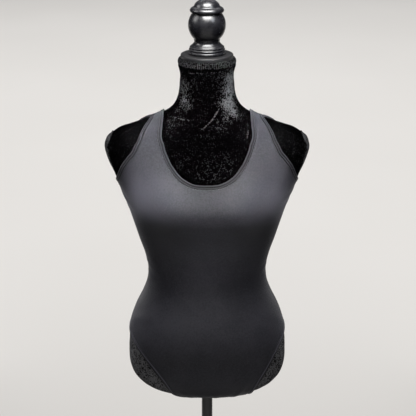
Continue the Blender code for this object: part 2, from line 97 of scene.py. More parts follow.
LEG_REAR = numbers("""
    90 52, 77 46, 67 22, 58 -16, 44 -54, 25 -78, 12.5 -93
""")
STRIP_TURN = 11.0  # half width of the strip between the legs, in degrees

# The strip is drawn aside to pass the pole, a little on the way down and the rest under the form: by how
# many degrees, and from and to which path
SHIFTS = ((4.5, 60, -30), (12.5, -50, -92))

# Fine steps along each edge between two seams, as multiples of the solids' own
PANEL_FINE = 5
BAND_FINE = 10
NECK_STEPS = 12
ARM_STEPS = 16
SIDE_STEPS = 17
LEG_STEPS = 14
ROW_TILT = 0.045
CROWD_BUST = 1.15
EDGE_SAMPLES = 1200
PATH_SAMPLES = 3000
TINY = 1e-5
SHARP = math.radians(42.0)
CREASE_PARTS = 16
CREASE_REACH = 5  # how many of its widths a crease spreads, at most
DEEPEST_RELIEF = -0.0008
THREAD_SIDES = 6
FLAT_BELOW = 1.0  # a binding's section is even below this height, in mm

# Columns across half a panel, as shares from the middle out: close together next to both edges
SHARES = [0, 0.004, 0.009, 0.016, 0.028], np.linspace(0.05, 0.95, 36), [0.972, 0.984, 0.991, 0.996, 1]
SHARES = np.concatenate(SHARES)

# Creases: the turn and the path where each starts and where it ends, how far it bends along the path in
# the middle, its height and its width, in degrees and in millimetres
FRONT_CREASES = numbers("""
    88 372 58 352 -5 0.9 6, 87 352 66 330 -4 0.6 5, -88 368 -61 340 -7 1.1 6.5, -86 344 -70 322 -3 0.6 5,
    89 196 60 190 4 0.8 5, 89 176 68 181 -3 0.6 4.5, -89 205 -64 197 5 0.7 5, -89 183 -58 180 -4 0.9 5.5,
    -88 160 -72 166 2 0.5 4.5, 80 66 50 96 8 0.7 8, -79 68 -46 92 9 0.9 8.5, -58 36 -30 60 5 0.6 8,
    54 30 34 52 4 0.5 7, 14 -86 31 -22 4 0.8 5, 4 -90 9 -30 0 0.6 6, -6 -84 -22 -34 3 0.5 6
""")
REAR_CREASES = numbers("""
    78 196 -66 188 -9 1.5 7, 62 178 -80 174 -6 1.1 6, 84 214 22 206 6 1 6, -85 216 -30 203 8 1.2 6.5,
    70 160 -24 164 -5 0.8 6.5, -82 158 -40 166 4 0.8 5.5, 40 232 -48 228 5 0.6 7, 84 370 40 392 10 1.2 7,
    86 346 52 352 5 0.8 6, -85 366 -44 385 12 1 7, -86 340 -56 342 4 0.9 6, 34 470 30 420 3 0.8 6,
    -33 474 -34 412 -4 0.9 6.5, 80 60 38 72 14 1.1 8, -79 58 -34 66 16 1.2 9, 70 22 30 20 12 0.8 8,
    -68 18 -26 10 14 1 8.5, 50 -34 16 -40 8 1 6, -46 -40 -4 -52 8 1.1 6, 20 -90 42 -50 6 0.9 5,
    2 -92 -24 -62 6 0.9 5
""")
# The velvet's, on the form's front and back
FORM_FRONT_CREASES = numbers("""
    26 622 -11 540 10 1.5 1.7, -64 592 -12 588 -3 0.9 2, 58 574 22 484 17 1.4 1.8,
    -86 655 -57 680 4 1 1.5, -62 678 40 685 2 0.9 1.3, 52 606 12 604 5 0.4 2, 52 640 62 600 2 0.8 4,
    -52 634 -58 604 2 0.7 4, 30 660 48 668 2 0.6 3, -20 520 16 512 4 0.3 6, 64 470 76 520 0 0.4 4.5,
    -64 476 -78 524 0 0.4 4.5
""")
FORM_REAR_CREASES = numbers("""
    -30 600 24 590 5 1.2 4, 44 634 8 616 4 0.9 3.6, -40 668 26 680 4 0.9 3, -50 560 -14 536 5 1.1 4.5,
    48 566 12 530 4 1 4.5, 66 474 76 522 0 0.8 4.5, -66 470 -77 520 0 0.8 4.5
""")

# Where the velvet is painted lighter, for brushed-up nap and for a painted sheen where it catches the light:
# x, y, z and the patch's radius in millimetres, and how light
SHEEN_AND_NAP_PATCHES = numbers("""
    44 -30 1124 21 1.1, 41 -38 1104 20 1.15, 44 -24 1146 22 1, 50 -40 1088 16 0.95, -43 -34 1108 15 0.85,
    -34 -44 1100 9 0.55, -45 -24 1128 22 0.62, -56 -30 1088 10 0.35, 36 -52 1080 12 0.55,
    22 -62 1064 16 0.3, -32 -42 1140 14 0.2, 4 -52 1142 22 0.1, 0 -60 1072 20 0.06, -70 -40 1058 26 0.25,
    -50 40 1110 30 0.7, 20 60 1090 34 0.6, 0 -92 978 30 0.26, 30 -88 990 30 0.2, -40 -86 996 30 0.1,
    -150 -50 590 60 1.55, 150 -50 590 60 1.5, -150 40 590 70 0.9, 150 40 590 70 0.9, -120 -70 535 50 1.45,
    130 -60 540 50 1.4, -150 -60 1000 50 0.05, 150 -60 1000 50 0.1, -186 -20 1000 30 0.25,
    186 -30 1000 30 0.3
""")

# What the lights over the form, those over the finial and those over the floor fall on
DRESSED, GLOSSY, STAGE = (bpy.data.collections.new(name) for name in ("dressed", "glossy", "stage"))


def place_in_scene(thing):
    bpy.context.scene.collection.objects.link(thing)


def length_of(vectors):
    return np.linalg.norm(vectors, axis=-1)


def unit(vectors):
    return vectors / length_of(vectors)[..., None]


def travelled(points):
    """How far along a line each of its points lies."""
    return np.concatenate([[0.0], np.cumsum(length_of(np.diff(points, axis=0)))])


def spline(knots, values, at):
    """A smooth curve through the values at the knots."""
    slopes = np.gradient(values, knots, axis=0)
    k = np.clip(np.searchsorted(knots, at, side="right") - 1, 0, len(knots) - 2)
    step = knots[k + 1] - knots[k]
    t = (at - knots[k]) / step
    if values.ndim == 2:
        step, t = step[..., None], t[..., None]
    return (
        values[k] * (1 + 2 * t) * (1 - t) ** 2
        + slopes[k] * step * t * (1 - t) ** 2
        + values[k + 1] * t**2 * (3 - 2 * t)
        - slopes[k + 1] * step * t**2 * (1 - t)
    )


def section_table():
    """The sections with their paths, and two mirrored ones below, which level the curves at the hips."""
    path = travelled(SECTIONS[:, :2]) * MM
    below = SECTIONS[[2, 1]]
    below[:, 0] = 2 * SECTIONS[0, 0] - below[:, 0]
    table = np.concatenate([below, SECTIONS]) * (MM, MM, MM, MM, 1.0)
    return np.concatenate([-path[[2, 1]], path]), table


SECTION_PATHS, SECTION_TABLE = section_table()
TOP_PATH = SECTION_PATHS[-1]
FINE_PATHS = np.linspace(0.0, TOP_PATH, PATH_SAMPLES)
FINE_HEIGHTS = spline(SECTION_PATHS, SECTION_TABLE, FINE_PATHS)[:, 0]


def path_at(height):
    """Path of a height above the floor, from the hip line up."""
    return np.interp(height, FINE_HEIGHTS, FINE_PATHS)


def bust(x, z):
    from_middle = np.abs(x) / BUST_ACROSS
    valley = BUST_VALLEY * np.cos(np.minimum(from_middle, 1.0) * math.pi / 2) ** 2
    across = np.maximum(np.abs(x) - BUST_ACROSS, 0.0) / BUST_SPREAD_X
    up = (z - BUST_HEIGHT) / BUST_SPREAD_Z
    return BUST_RISE * (1 - valley) * np.exp(-(across**2) - up**2)


def form_point(turn, path, rear):
    """Points of the form, at turns in radians and paths in metres, in the front's or the rear's numbers."""
    turn, path = np.broadcast_arrays(np.asarray(turn, float), np.asarray(path, float))
    height, half_width, front, back, blunt = np.moveaxis(
        spline(SECTION_PATHS, SECTION_TABLE, np.maximum(path, 0.0)), -1, 0
    )
    sine, cosine = np.sin(turn), np.cos(turn)
    size = (np.abs(sine) ** blunt + np.abs(cosine) ** blunt) ** (1 / blunt)
    x = half_width * sine / size
    across = np.minimum(np.abs(sine / size), 1.0)
    fold = np.clip(-path / UNDER_PATH, 0.0, 2.0) * math.pi / 2
    down, out = np.sin(fold), np.cos(fold)
    square = (np.abs(down) ** UNDER_SQUARE + np.abs(out) ** UNDER_SQUARE) ** (1 / UNDER_SQUARE)
    drop = (HIP_LINE - UNDERSIDE) * (1 - across**UNDER_ENDS) ** (1 / UNDER_ENDS)
    z = height - drop * down / square
    faces_front = (cosine * out >= 0) != rear
    reach = np.where(faces_front, front, back) * np.abs(cosine) / size * np.abs(out) / square
    reach = reach + np.where(faces_front, bust(x, z) * cosine**2, 0.0)
    y = np.where(faces_front, -reach, reach)
    return np.stack([x, y, z], axis=-1)


def slopes_of(turn, path, rear):
    """How a point moves as its turn and its path grow."""
    by_turn = form_point(turn + TINY, path, rear) - form_point(turn - TINY, path, rear)
    by_path = form_point(turn, path + TINY, rear) - form_point(turn, path - TINY, rear)
    return by_turn / (2 * TINY), by_path / (2 * TINY)


def outward(turn, path, rear):
    by_turn, by_path = slopes_of(turn, path, rear)
    normal = np.cross(by_turn, by_path)
    normal[np.asarray(rear) & np.ones(normal.shape[:-1], bool)] *= -1
    return unit(normal)


def surface(turn, path, rear):
    """Points of the form, and which way is out at each."""
    return form_point(turn, path, rear), outward(turn, path, rear)


def edge_stations(rows, before, after, count):
    """Evenly spaced stations on a smooth curve through the rows, led in and out by a neighbour's row."""
    control = np.array([before, *rows, after], float)
    knots = travelled(form_point(*control.T, False))
    fine = np.linspace(knots[1], knots[-2], EDGE_SAMPLES)
    run = travelled(form_point(*spline(knots, control, fine).T, False))
    at = np.interp(np.linspace(0, run[-1], count + 1), run, fine)
    return spline(knots, control, at)


def edge_rows(table):
    turn, height = table.T
    return np.column_stack([np.radians(turn), path_at(height * MM)])


def past_side(row):
    """A row of the other face, in this face's numbers, past the side."""
    return (math.pi - row[0], row[1])


def past_under(row):
    return (row[0], -2 * UNDER_PATH - row[1])


def both_faces(front, rear, leave, count):
    """The front's and the rear's stations, led in from past the side and out to the row that leave gives."""
    pairs = ((front, rear), (rear, front))
    return [edge_stations(this, past_side(other[1]), leave(this, other), count) for this, other in pairs]


def strip_shift(path):
    """How far the strip is drawn aside at a path, in radians."""
    total = 0.0
    for degrees, start, end in SHIFTS:
        share = np.clip((path - start * MM) / ((end - start) * MM), 0.0, 1.0)
        total = total + math.radians(degrees) * share**2 * (3 - 2 * share)
    return total


def leg_rows(table, side):
    """A leg line down to the strip between the legs, drawn aside with it."""
    turn, path = table.T
    rows = np.column_stack([np.radians(turn), path * MM])
    rows = np.concatenate([rows, [[math.radians(STRIP_TURN), -UNDER_PATH]]])
    rows[:, 0] += side * strip_shift(rows[:, 1])
    return rows


class Loop:
    """A closed edge of the leotard. find gives a stretch's stations, by its side and whether it is rear."""

    def __init__(self, parts):
        turns, paths, rears, self.find = [], [], [], {}
        start, total = 0, sum(len(stations) - 1 for stations, *_ in parts)
        for stations, side, rear, backwards in parts:
            ordered = stations[::-1] if backwards else stations
            steps = len(ordered) - 1
            turns.append(side * ordered[:-1, 0])
            paths.append(ordered[:-1, 1])
            rears.append(np.full(steps, rear))
            along = start + np.arange(steps + 1)
            self.find[side, rear] = (along[::-1] if backwards else along) % total
            start += steps
        self.turn, self.path, self.rear = map(np.concatenate, (turns, paths, rears))
        self.points, up = surface(self.turn, self.path, self.rear)
        along = np.roll(self.points, -1, axis=0) - np.roll(self.points, 1, axis=0)
        inward = unit(np.cross(up, along))
        self.inward = -inward if np.sum(inward * (self.points - self.points.mean(axis=0))) < 0 else inward

    def moved(self, distance):
        """Turns and paths of the stations, moved that far over the form into the cloth."""
        by_turn, by_path = slopes_of(self.turn, self.path, self.rear)
        a, b, c = ((m * n).sum(1) for m, n in ((by_turn, by_turn), (by_turn, by_path), (by_path, by_path)))
        p, q = ((m * self.inward).sum(1) * distance for m in (by_turn, by_path))
        size = a * c - b * b
        return self.turn + (p * c - q * b) / size, self.path + (q * a - p * b) / size


def neck_loop(fine):
    edges = edge_rows(NECK_FRONT), edge_rows(NECK_REAR)
    front, rear = both_faces(*edges, lambda this, _: (-this[-2][0], this[-2][1]), NECK_STEPS * fine)
    front_parts = [(front, 1, False, False), (front, -1, False, True)]
    return Loop(front_parts + [(rear, -1, True, False), (rear, 1, True, True)])


def side_loop(side, edges, leave, count):
    """The loop of an armhole or a leg opening, whose stations' turns are positive on both sides."""
    front, rear = both_faces(*edges, leave, count)
    return Loop([(front, side, False, False), (rear, side, True, True)])


def arm_loop(side, fine):
    edges = edge_rows(ARM_FRONT), edge_rows(ARM_REAR)
    return side_loop(side, edges, lambda _, other: past_side(other[-2]), ARM_STEPS * fine)


def leg_loop(side, fine):
    edges = leg_rows(LEG_FRONT, side), leg_rows(LEG_REAR, side)
    return side_loop(side, edges, lambda _, other: past_under(other[-2]), LEG_STEPS * fine)


def band_loops():
    """The neck's loop, the arms' and the legs', left before right."""
    limbs = [make(side, BAND_FINE) for make in (arm_loop, leg_loop) for side in (1, -1)]
    return [neck_loop(BAND_FINE), *limbs]


def crease_heights(points, creases, rear):
    """How far a table's creases raise each of some points of the form."""
    heights = np.zeros(points.shape[:-1])
    share = np.linspace(0, 1, CREASE_PARTS + 1)
    for turn_a, path_a, turn_b, path_b, bend, height, width in creases:
        turn = np.radians(turn_a * (1 - share) + turn_b * share)
        path = path_a * (1 - share) + path_b * share + bend * np.sin(math.pi * share)
        line = form_point(turn, path * MM, rear)
        width = width * MM
        reach = CREASE_REACH * width
        near = ((points > line.min(axis=0) - reach) & (points < line.max(axis=0) + reach)).all(axis=-1)
        some = points[near]
        best, at = np.full(len(some), 1e9), np.zeros(len(some))
        for k in range(CREASE_PARTS):
            step = line[k + 1] - line[k]
            t = np.clip((some - line[k]) @ step / (step @ step), 0, 1)
            away = length_of(some - line[k] - t[:, None] * step)
            closer = away < best
            best = np.where(closer, away, best)
            at = np.where(closer, share[k] + t / CREASE_PARTS, at)
        fade = np.sin(math.pi * np.clip(0.04 + 0.96 * at, 0, 1)) ** 0.8
        ridge = np.exp(-((best / width) ** 2)) - 0.35 * np.exp(-(((best - 1.9 * width) / width) ** 2))
        heights[near] += height * MM * fade * ridge
    return heights


def unevenness(points, size, seed):
    """A smooth pseudo-random field from -1 to 1, its features about that size across."""
    rng = np.random.default_rng(seed)
    total = np.zeros(points.shape[:-1])
    for _ in range(9):
        direction = rng.normal(size=3)
        direction *= rng.uniform(0.6, 1.5) * 2 * math.pi / (size * np.linalg.norm(direction))
        total += np.sin(points @ direction + rng.uniform(0, 2 * math.pi))
    return total / 4.5


def bare_object(name, points, faces, material):
    mesh = bpy.data.meshes.new(name)
    mesh.from_pydata([tuple(point) for point in points], [], [tuple(face) for face in faces])
    mesh.materials.append(material)
    thing = bpy.data.objects.new(name, mesh)
    place_in_scene(thing)
    return thing


def make_object(name, points, faces, material, uvs=None, nap_and_painted_light=None):
    """A piece from points and faces. uvs and the velvet's lightness, from its nap and from painted light and
    shade, hold one row for each point.
    """
    piece = bare_object(name, points, faces, material)
    mesh = piece.data
    mesh.shade_smooth()
    mesh.set_sharp_from_angle(angle=SHARP)
    if uvs is not None:
        corners = np.empty(len(mesh.loops), np.int64)
        mesh.loops.foreach_get("vertex_index", corners)
        mesh.uv_layers.new(name="cut").data.foreach_set("uv", np.asarray(uvs, float)[corners].ravel())
    if nap_and_painted_light is not None:
        mesh.attributes.new("nap_and_painted_light", "FLOAT", "POINT").data.foreach_set("value", np.asarray(nap_and_painted_light, float))
    DRESSED.objects.link(piece)
    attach(piece, "root")
    return piece


def grid_faces(rows, cols, closed_rows=False, closed_cols=False):
    i, j = np.indices((rows - (not closed_rows), cols - (not closed_cols)))
    k, n = (i + 1) % rows, (j + 1) % cols
    return np.stack([i * cols + j, i * cols + n, k * cols + n, k * cols + j], axis=-1).reshape(-1, 4)


def facing_out(points, faces):
    """The faces, all turned over if they enclose a negative volume."""
    a, b, c = (points[faces[:, i]] for i in range(3))
    d = points[faces[:, -1]]
    volume = (a * (np.cross(b, c) + np.cross(c, d))).sum()
    return faces[:, ::-1] if volume < 0 else faces


# The cloth


def crowded(start, end, steps):
    """Paths of a panel's rows down its side, closer together near the start."""
    return start + (end - start) * np.linspace(0, 1, steps + 1) ** CROWD_BUST


def panel_grid(side, rear):
    """Turns and paths of half a panel's grid, a row for each station and columns from the middle out."""
    fine = PANEL_FINE
    edges = []
    for loop in (neck_loop(fine), arm_loop(side, fine), leg_loop(side, fine)):
        turns, paths = loop.moved(BAND + SEAM)
        at = loop.find[side, rear]
        edges.append(np.column_stack([side * turns[at], paths[at]]))
    neck, arm, leg = edges
    side_turn = math.pi / 2 - SEAM / 2 / SECTION_TABLE[:, 2].mean()
    for edge, at in ((neck, 0), (arm, 0), (arm, -1), (leg, 0)):
        edge[at, 0] = side_turn
    neck[-1, 0] = 0.0
    leg[-1, 1] = -UNDER_PATH + SEAM / 2
    seam_paths = crowded(arm[-1, 1], leg[0, 1], SIDE_STEPS * fine)
    seam = np.column_stack([np.full(len(seam_paths), side_turn), seam_paths])
    outer = np.concatenate([arm, seam[1:], leg[1:]])
    high, low = arm[-1, 1] - ROW_TILT, leg[0, 1] + ROW_TILT
    chest = np.linspace(neck[-1, 1], high, (ARM_STEPS - NECK_STEPS) * fine + 1)
    under = np.linspace(low, -UNDER_PATH + SEAM / 2, LEG_STEPS * fine + 1)
    middle_paths = np.concatenate([chest, crowded(high, low, SIDE_STEPS * fine)[1:], under[1:]])
    middle = np.column_stack([side * strip_shift(middle_paths), middle_paths])
    inner = np.concatenate([neck, middle[1:]])
    share = SHARES[None, :, None]
    grid = inner[:, None, :] * (1 - share) + outer[:, None, :] * share
    grid[..., 0] *= side
    return grid


def seam_relief(distance):
    """Height over a panel next to its edge: pressed down at the seam, raised over the allowance behind."""
    allowance = 0.00028 * np.exp(-(((distance - 0.0042) / 0.0024) ** 2))
    return allowance - 0.00045 * np.exp(-((distance / 0.0011) ** 2))


def add_panel(name, rear, creases, material, seed):
    """The front or the back: two halves of one grid, which part above the neckline's lowest point."""
    neck_row = NECK_STEPS * PANEL_FINE
    inner_layer, outer_layer, uvs, faces = [], [], [], []
    for side in (1, -1):
        turns, paths = np.moveaxis(panel_grid(side, rear), -1, 0)
        base, normal = surface(turns, paths, rear)
        steps = length_of(np.diff(base, axis=1))
        across = np.concatenate([np.zeros((len(base), 1)), np.cumsum(steps, axis=1)], axis=1)
        relief = seam_relief(across[:, -1:] - across)
        relief[:neck_row] += seam_relief(across[:neck_row])
        relief += crease_heights(base, creases, rear) + 0.00022 * unevenness(base, 0.075, seed)
        relief += 0.00006 * unevenness(base, 0.012, seed + 1)
        relief = np.maximum(relief, DEEPEST_RELIEF)[..., None]
        inner_layer.append(base + normal * (CLEARANCE + relief))
        outer_layer.append(base + normal * (CLEARANCE + CLOTH + relief))
        start = length_of(base[:, :1, :2] - base[neck_row:, 0, :2].mean(axis=0) * (0, 1))
        start[neck_row:] = 0.0
        uvs.append(np.stack([side * (across + start), paths], axis=-1))
        index = np.arange(turns.size).reshape(turns.shape) + (side < 0) * turns.size
        if side > 0:
            middle = index[neck_row:, 0]
        index[neck_row:, 0] = middle
        quads = np.stack([index[:-1, :-1], index[1:, :-1], index[1:, 1:], index[:-1, 1:]], axis=-1)
        faces.append(quads.reshape(-1, 4)[:, ::side])
    used, faces = np.unique(np.concatenate(faces), return_inverse=True)
    faces = faces.reshape(-1, 4)
    halves = inner_layer, outer_layer, uvs
    inner, outer, uv = (np.concatenate([x.reshape(-1, x.shape[-1]) for x in pair])[used] for pair in halves)
    edges = np.concatenate([faces[:, [k, (k + 1) % 4]] for k in range(4)])
    keys = edges[:, 0] * len(used) + edges[:, 1]
    rim = edges[~np.isin(keys, edges[:, 1] * len(used) + edges[:, 0])]
    wall = np.column_stack([rim[:, 1], rim[:, 0], rim[:, 0] + len(used), rim[:, 1] + len(used)])
    shell = np.concatenate([faces + len(used), faces[:, ::-1], wall])
    points = np.concatenate([inner, outer])
    return make_object(name, points, facing_out(points, shell), material, uvs=np.concatenate([uv, uv]))


# A binding's section: how far in from the edge, and how high over the form, in mm. The two low places on
# top are the rows of stitching.
SECTION_OF_BAND = numbers("""
    0.9 0, 0.3 0.2, 0 0.8, 0.15 1.4, 0.6 1.85, 1.3 2.05, 2.2 2.05, 2.9 1.85, 3.35 1.4, 3.7 1.2, 4.05 1.4,
    4.5 1.85, 5.4 2.1, 6.2 2, 6.8 1.6, 7.15 1.2, 7.45 1.05, 7.75 1.2, 8 1.3, 8 0
""")
SECTION_OF_HEM = numbers("""
    0.9 0, 0.3 0.2, 0 0.8, 0.15 1.35, 0.6 1.7, 1.6 1.85, 3 1.9, 4.4 1.85, 5.6 1.75, 6.5 1.5, 6.95 1.2,
    7.3 1.1, 7.65 1.2, 8 1.3, 8 0
""")


def add_band(name, loop, section, material, seed):
    """A folded band along an edge, a ring of the section at each station."""
    rings = []
    for inward, height in section:
        base, up = surface(*loop.moved(inward * MM), loop.rear)
        lift = np.full(len(base), height * MM)
        if height > FLAT_BELOW:
            lift += 0.00012 * unevenness(base, 0.009, seed) + 0.00010 * unevenness(base, 0.03, seed + 1)
        rings.append(base + up * (CLEARANCE + lift)[:, None])
    rings = np.stack(rings, axis=1)
    uvs = np.stack(np.meshgrid(section[:, 0] * MM, travelled(rings[:, 4])), axis=-1)
    points = rings.reshape(-1, 3)
    faces = grid_faces(rings.shape[0], rings.shape[1], True, True)
    return make_object(name, points, facing_out(points, faces), material, uvs=uvs.reshape(-1, 2))


# A thread's outline, in shares of its length and its radius
STITCH_PROFILE = numbers("-0.5 0.25, -0.42 0.8, -0.15 1, 0.15 1, 0.42 0.8, 0.5 0.25")


def between(values, run, places):
    """A closed line's values, a row for each of its points, at some places along it."""
    return np.column_stack([np.interp(places % run[-1], run, column) for column in values.T])


def add_stitches(name, loop, rows, pitch, radius, material):
    """Threads laid end to end along an edge, each row given by its distance in and its height, in mm."""
    rng = np.random.default_rng(len(name))
    points, faces = [], []
    angles = np.arange(THREAD_SIDES) * 2 * math.pi / THREAD_SIDES
    template = np.array([(a, r * math.cos(t), r * math.sin(t)) for a, r in STITCH_PROFILE for t in angles])
    body = grid_faces(len(STITCH_PROFILE), THREAD_SIDES, closed_cols=True)
    for inward, height in rows:
        base, normal = surface(*loop.moved(inward * MM), loop.rear)
        line = base + normal * (CLEARANCE + height * MM)
        line, normal = (np.concatenate([x, x[:1]]) for x in (line, normal))
        run = travelled(line)
        count = int(run[-1] / pitch)
        middles = (np.arange(count) + 0.5) * run[-1] / count
        centre, up = between(line, run, middles), between(normal, run, middles)
        ahead = unit(between(line, run, middles + pitch / 3) - between(line, run, middles - pitch / 3))
        side = np.cross(up, ahead)
        length = pitch * 0.74 * rng.uniform(0.9, 1.08, count)[:, None]
        thick = radius * rng.uniform(0.9, 1.1, count)[:, None]
        made = centre[:, None] + template @ np.stack([length * ahead, thick * side, thick * up], axis=1)
        firsts = sum(len(x) for x in points) + np.arange(count) * len(template)
        points.append(made.reshape(-1, 3))
        faces += (body + firsts[:, None, None]).reshape(-1, 4).tolist()
        for first in firsts.tolist():
            faces.append([first + j for j in range(THREAD_SIDES)])
            faces.append([first + len(template) - 1 - j for j in range(THREAD_SIDES)])
    return make_object(name, np.concatenate(points), faces, material)


# The velvet form

CAP_EDGE = 0.186  # the arm cap's edge from the middle, at CAP_HEIGHT
CAP_HEIGHT = 1.020
CAP_FALL = 0.25
CAP_RISE = 0.50
CAP_MIDDLE = 0.998  # the height its seam runs round
CLOTHED = (0.62, 0.93)  # heights between which the cloth hides the velvet
PILE = (0.0007, 0.0007, 0.0008)
# How far from the cloth's edges the velvet is painted dark, a painted shadow beside the cloth, and where that
# painted shadow ends
EDGE_SHADE = (0.0050, 0.0090)


def cap_reach(height):
    """How far from the middle the arm cap's seam lies at a height."""
    below, above = np.maximum(CAP_HEIGHT - height, 0), np.maximum(height - CAP_HEIGHT, 0)
    return CAP_EDGE - CAP_FALL * below - CAP_RISE * above


def form_relief(points, creases):
    """How far the velvet stands off the form: its creases, its unevenness and the arm caps' seams."""
    relief = creases + 0.00030 * unevenness(points, 0.030, 31) + 0.00022 * unevenness(points, 0.010, 32)
    beyond = np.abs(points[..., 0]) - cap_reach(points[..., 2])
    relief = relief - 0.0008 * np.exp(-((beyond / 0.0030) ** 2))
    low, high = CLOTHED
    hidden = (points[..., 2] > low) & (points[..., 2] < high)
    return np.where(hidden, np.minimum(relief, 0.0), relief)


# Brushed-up nap and painted sheen: how much lighter the velvet is painted at each point
def sheen_and_nap_at(points):
    nap_and_painted_light = np.zeros(len(points))
    for x, y, z, radius, light in SHEEN_AND_NAP_PATCHES:
        away = length_of(points - np.array((x, y, z)) * MM)
        nap_and_painted_light = np.maximum(nap_and_painted_light, light * np.exp(-((away / (radius * MM)) ** 2)))
    return nap_and_painted_light


def from_edges(points):
    """How far each point lies from the nearest edge of the leotard."""
    edges = np.concatenate([loop.points for loop in band_loops()])
    tree = KDTree(len(edges))
    for i, edge in enumerate(edges):
        tree.insert(edge, i)
    tree.balance()
    return np.array([tree.find(point)[2] for point in points])


def add_form(material):
    """The padded form: rings up from the hip line, and folds under it from front to back."""
    quarter, folds = 74, 44
    around = 4 * quarter
    turns = np.arange(around) * 2 * math.pi / around
    stretches = (0, 0.10, 28), (0.10, 0.42, 60), (0.42, TOP_PATH, 160)
    paths = np.unique(np.concatenate([np.linspace(*stretch) for stretch in stretches]))
    grid_turns, grid_paths = np.meshgrid(turns, paths)
    base, out = surface(grid_turns, grid_paths, False)
    front_creases = crease_heights(base, FORM_FRONT_CREASES, False)
    creases = np.where(base[..., 1] > 0, crease_heights(base, FORM_REAR_CREASES, True), front_creases)
    rings = base + out * form_relief(base, creases)[..., None]
    points = list(rings.reshape(-1, 3))
    faces = grid_faces(len(paths), around, closed_cols=True).tolist()
    faces.append([(len(paths) - 1) * around + j for j in range(around)])
    strips = {}
    for j in range(-quarter, quarter + 1):
        first, last = j % around, (around // 2 - j) % around
        if abs(j) == quarter:
            strips[j] = [first] * (folds + 1)
            continue
        under = -2 * UNDER_PATH * np.arange(1, folds) / folds
        base, out = surface(np.full(folds - 1, turns[1] * j), under, False)
        lifted = base + out * (0.0003 * unevenness(base, 0.030, 31))[:, None]
        strips[j] = [first, *range(len(points), len(points) + folds - 1), last]
        points.extend(lifted)
    for j in range(-quarter, quarter):
        for k in range(folds):
            corners = (strips[j][k], strips[j][k + 1], strips[j + 1][k + 1], strips[j + 1][k])
            faces.append(list(dict.fromkeys(corners)))
    points = np.array(points)
    nap_and_painted_light = sheen_and_nap_at(points)
    # Painted sheen: the velvet is painted lighter along the ridges of its creases
    crease_sheen = np.clip(creases / 0.0012 - 0.08, 0, 0.80).ravel()
    nap_and_painted_light[: creases.size] = np.maximum(nap_and_painted_light[: creases.size], crease_sheen)
    # Painted shadow: the velvet's lighter pile is taken away next to the cloth's edges
    shadow_full_until, shadow_gone_at = EDGE_SHADE
    nap_and_painted_light = nap_and_painted_light * np.clip((from_edges(points) - shadow_full_until) / (shadow_gone_at - shadow_full_until), 0.0, 1.0)
    return make_object("velvet_form", points, faces, material, nap_and_painted_light=nap_and_painted_light)


def on_cap(radius, angles):
    """Points of the form in rings about the arm cap's middle, on its +X side."""
    y, z = radius * np.cos(angles), CAP_MIDDLE + radius * np.sin(angles)
    _, half_width, front, back, blunt = spline(SECTION_PATHS, SECTION_TABLE, path_at(z)).T
    flat = np.clip(np.abs(y) / np.where(y < 0, front, back), 0, 1)
    return np.column_stack([half_width * (1 - flat**blunt) ** (1 / blunt), y, z])


def add_cap_seam(name, side, material):
    """The piped seam round an arm cap, found on the form from the cap's middle outwards."""
    angles = np.linspace(0, 2 * math.pi, 160, endpoint=False)
    low, high = np.zeros(len(angles)), np.full(len(angles), 0.085)
    for _ in range(30):
        radius = (low + high) / 2
        x, _, z = on_cap(radius, angles).T
        outside = x > cap_reach(z)
        low, high = np.where(outside, radius, low), np.where(outside, high, radius)
    line = on_cap((low + high) / 2, angles) * (side, 1, 1)
    ahead = unit(np.roll(line, -1, axis=0) - np.roll(line, 1, axis=0))
    out = np.array([side * 1.0, 0.0, 0.0]) + (line - (0, 0, CAP_MIDDLE)) * (0, 14, 14)
    across = unit(np.cross(ahead, out))
    up = np.cross(across, ahead)
    turn = (np.arange(10) * 2 * math.pi / 10)[None, :, None]
    thick = 0.0009 * (1 + 0.12 * unevenness(line, 0.01, 5))[:, None, None]
    tube = line[:, None] + thick * (np.cos(turn) * across[:, None] + np.sin(turn) * up[:, None])
    points = tube.reshape(-1, 3)
    faces = facing_out(points, grid_faces(len(line), 10, True, True))
    return make_object(name, points, faces, material, nap_and_painted_light=np.full(len(points), 0.35))


# Turned and metal pieces

CAP_ROWS = numbers("46.5 0, 48 0.4, 48.6 1.2, 48.7 6.4, 48.7 10.4, 48.2 11.7, 47 12.4, 44 12.5")
RIB_DEPTH = 0.003  # how far in from a turned piece's rim its ribs reach


def smoothed(table, per):
    """More (radius, height) rows on a smooth curve through a table's."""
    rows = numbers(table)
    knots = travelled(rows)
    return spline(knots, rows, np.linspace(0, knots[-1], (len(rows) - 1) * per + 1))


def add_turned(name, rows, floor, material, segments=128, ribs=0, rib_height=0.0, nap_and_painted_light=None):
    """A piece turned about the axis from (radius, height) rows in mm, closed at both ends."""
    angles = np.arange(segments) * 2 * math.pi / segments
    rows = np.array(rows, float) * MM
    ribbed = rows[:, :1] > rows[:, 0].max() - RIB_DEPTH
    radii = rows[:, :1] + rib_height * np.cos(angles * ribs)[None] * ribbed
    heights = rows[:, 1:] + floor + 0 * radii
    points = np.stack([radii * np.cos(angles), radii * np.sin(angles), heights], axis=-1)
    faces = grid_faces(len(rows), segments, closed_cols=True).tolist()
    faces.append(list(range(segments))[::-1])
    faces.append([(len(rows) - 1) * segments + j for j in range(segments)])
    if nap_and_painted_light is not None:
        # Painted light on ribbed pieces: lighter on the ribs' crests, a painted shade in the grooves between
        # them
        nap_and_painted_light = np.tile(nap_and_painted_light * (0.60 + 0.40 * np.cos(angles * ribs)), len(rows))
    return make_object(name, points.reshape(-1, 3), faces, material, nap_and_painted_light=nap_and_painted_light)


def turned_for(node, name, rows, material, segments=128):
    """A turned piece that stands where the solid it replaces does."""
    piece = add_turned(name, rows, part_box(node)[0][2], material, segments)
    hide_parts(node)
    return piece


def height_of(node):
    """A solid's height in mm."""
    low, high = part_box(node)
    return (high[2] - low[2]) / MM


